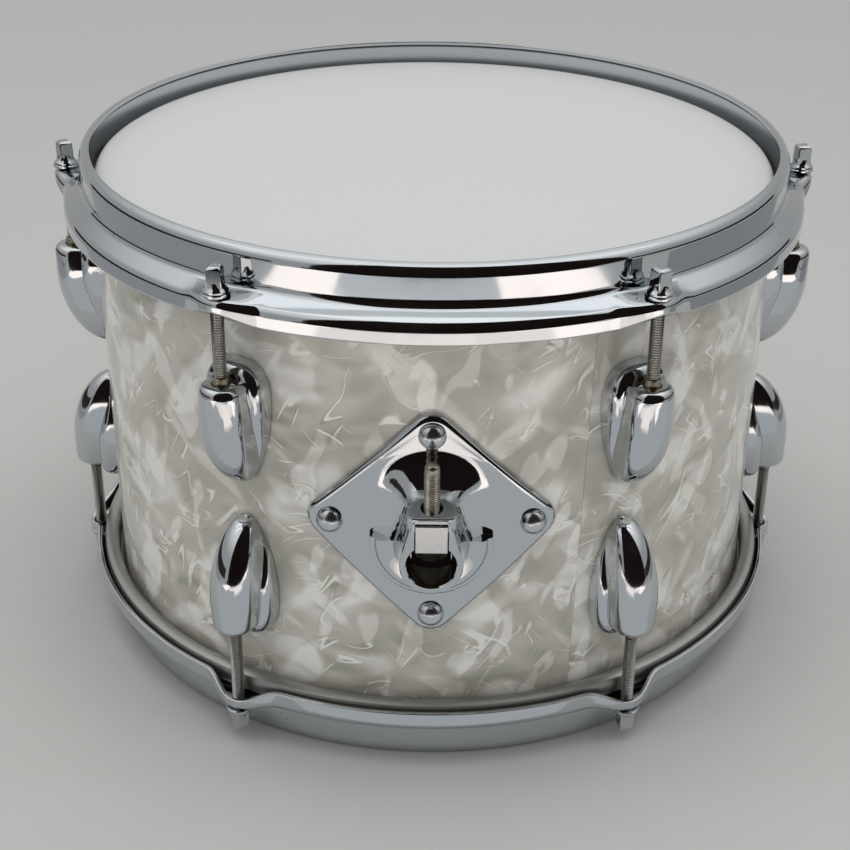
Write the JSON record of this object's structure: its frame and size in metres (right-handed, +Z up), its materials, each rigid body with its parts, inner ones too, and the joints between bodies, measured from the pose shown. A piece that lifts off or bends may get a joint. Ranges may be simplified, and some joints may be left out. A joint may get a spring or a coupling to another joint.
{
  "type": "rack tom drum",
  "caption": "Double-headed rack tom with wrapped wooden shell, flanged hoops, tension rods in single-ended lugs and a clamping bracket for a mounting arm.",
  "frame": {"origin": "middle of the whole drum's box at its base, in the plane of the lower hoop's rim", "axes": "+Z up along the shell's axis; the bracket for the arm faces -Y; the shell's axis stands 6.0 mm towards +Y from the origin"},
  "size_m": [0.3494, 0.3421, 0.225],
  "materials": {
    "shell_wood": "sanded maple ply, bare inside",
    "ring_wood": "sanded maple, bare",
    "wrap_pearl": "white marine pearl wrap, glossy",
    "head_film": "lightly coated white film",
    "flesh_hoop_aluminium": "dull rolled aluminium",
    "hoop_chrome": "chromed pressed steel",
    "lug_chrome": "chromed die-cast zinc",
    "rod_chrome": "plated steel, threads worn",
    "nut_brass": "dull nickel-plated brass",
    "bracket_chrome": "chromed die-cast zinc",
    "screw_chrome": "chromed dome head",
    "fastener_steel": "zinc-plated steel",
    "block_nickel": "satin nickel",
    "stud_steel": "worn plated steel, browned in the threads"
  },
  "bodies": {
    "drum": {"shell": "shell_wood", "wrap": "wrap_pearl", "hoop_top": "hoop_chrome", "head_top": "head_film", "flesh_hoop_top": "flesh_hoop_aluminium", "reinforcement_ring_top": "ring_wood", "lug_top_1": "lug_chrome", "swivel_nut_top_1": "nut_brass", "lug_top_2": "lug_chrome", "swivel_nut_top_2": "nut_brass", "lug_top_3": "lug_chrome", "swivel_nut_top_3": "nut_brass", "lug_top_4": "lug_chrome", "swivel_nut_top_4": "nut_brass", "lug_top_5": "lug_chrome", "swivel_nut_top_5": "nut_brass", "lug_top_6": "lug_chrome", "swivel_nut_top_6": "nut_brass", "hoop_bottom": "hoop_chrome", "head_bottom": "head_film", "flesh_hoop_bottom": "flesh_hoop_aluminium", "reinforcement_ring_bottom": "ring_wood", "lug_bottom_1": "lug_chrome", "swivel_nut_bottom_1": "nut_brass", "lug_bottom_2": "lug_chrome", "swivel_nut_bottom_2": "nut_brass", "lug_bottom_3": "lug_chrome", "swivel_nut_bottom_3": "nut_brass", "lug_bottom_4": "lug_chrome", "swivel_nut_bottom_4": "nut_brass", "lug_bottom_5": "lug_chrome", "swivel_nut_bottom_5": "nut_brass", "lug_bottom_6": "lug_chrome", "swivel_nut_bottom_6": "nut_brass", "mount_bracket": "bracket_chrome", "mount_screw_1": "screw_chrome", "mount_nut_1": "fastener_steel", "mount_screw_2": "screw_chrome", "mount_nut_2": "fastener_steel", "mount_screw_3": "screw_chrome", "mount_nut_3": "fastener_steel", "mount_screw_4": "screw_chrome", "mount_nut_4": "fastener_steel"},
    "rod_top_1": {"tension_rod_top_1": "rod_chrome"},
    "rod_top_2": {"tension_rod_top_2": "rod_chrome"},
    "rod_top_3": {"tension_rod_top_3": "rod_chrome"},
    "rod_top_4": {"tension_rod_top_4": "rod_chrome"},
    "rod_top_5": {"tension_rod_top_5": "rod_chrome"},
    "rod_top_6": {"tension_rod_top_6": "rod_chrome"},
    "rod_bottom_1": {"tension_rod_bottom_1": "rod_chrome"},
    "rod_bottom_2": {"tension_rod_bottom_2": "rod_chrome"},
    "rod_bottom_3": {"tension_rod_bottom_3": "rod_chrome"},
    "rod_bottom_4": {"tension_rod_bottom_4": "rod_chrome"},
    "rod_bottom_5": {"tension_rod_bottom_5": "rod_chrome"},
    "rod_bottom_6": {"tension_rod_bottom_6": "rod_chrome"},
    "clamp": {"clamp_block": "block_nickel", "clamp_stud": "stud_steel"}
  },
  "joints": [
    {"name": "turn_rod_top_1", "type": "hinge", "parent": "drum", "child": "rod_top_1", "pos_m": [0.08295, -0.13767, 0.2078], "axis": [0, 0, 1], "continuous": true},
    {"name": "turn_rod_top_2", "type": "hinge", "parent": "drum", "child": "rod_top_2", "pos_m": [0.1659, 0.006, 0.2078], "axis": [0, 0, 1], "continuous": true},
    {"name": "turn_rod_top_3", "type": "hinge", "parent": "drum", "child": "rod_top_3", "pos_m": [0.08295, 0.14967, 0.2078], "axis": [0, 0, 1], "continuous": true},
    {"name": "turn_rod_top_4", "type": "hinge", "parent": "drum", "child": "rod_top_4", "pos_m": [-0.08295, 0.14967, 0.2078], "axis": [0, 0, 1], "continuous": true},
    {"name": "turn_rod_top_5", "type": "hinge", "parent": "drum", "child": "rod_top_5", "pos_m": [-0.1659, 0.006, 0.2078], "axis": [0, 0, 1], "continuous": true},
    {"name": "turn_rod_top_6", "type": "hinge", "parent": "drum", "child": "rod_top_6", "pos_m": [-0.08295, -0.13767, 0.2078], "axis": [0, 0, 1], "continuous": true},
    {"name": "turn_rod_bottom_1", "type": "hinge", "parent": "drum", "child": "rod_bottom_1", "pos_m": [0.08295, -0.13767, 0.0172], "axis": [0, 0, -1], "continuous": true},
    {"name": "turn_rod_bottom_2", "type": "hinge", "parent": "drum", "child": "rod_bottom_2", "pos_m": [0.1659, 0.006, 0.0172], "axis": [0, 0, -1], "continuous": true},
    {"name": "turn_rod_bottom_3", "type": "hinge", "parent": "drum", "child": "rod_bottom_3", "pos_m": [0.08295, 0.14967, 0.0172], "axis": [0, 0, -1], "continuous": true},
    {"name": "turn_rod_bottom_4", "type": "hinge", "parent": "drum", "child": "rod_bottom_4", "pos_m": [-0.08295, 0.14967, 0.0172], "axis": [0, 0, -1], "continuous": true},
    {"name": "turn_rod_bottom_5", "type": "hinge", "parent": "drum", "child": "rod_bottom_5", "pos_m": [-0.1659, 0.006, 0.0172], "axis": [0, 0, -1], "continuous": true},
    {"name": "turn_rod_bottom_6", "type": "hinge", "parent": "drum", "child": "rod_bottom_6", "pos_m": [-0.08295, -0.13767, 0.0172], "axis": [0, 0, -1], "continuous": true},
    {"name": "clamp_slide", "type": "slide", "parent": "drum", "child": "clamp", "axis": [0, 0, 1], "range_m": [-0.004, 0.001]}
  ]
}
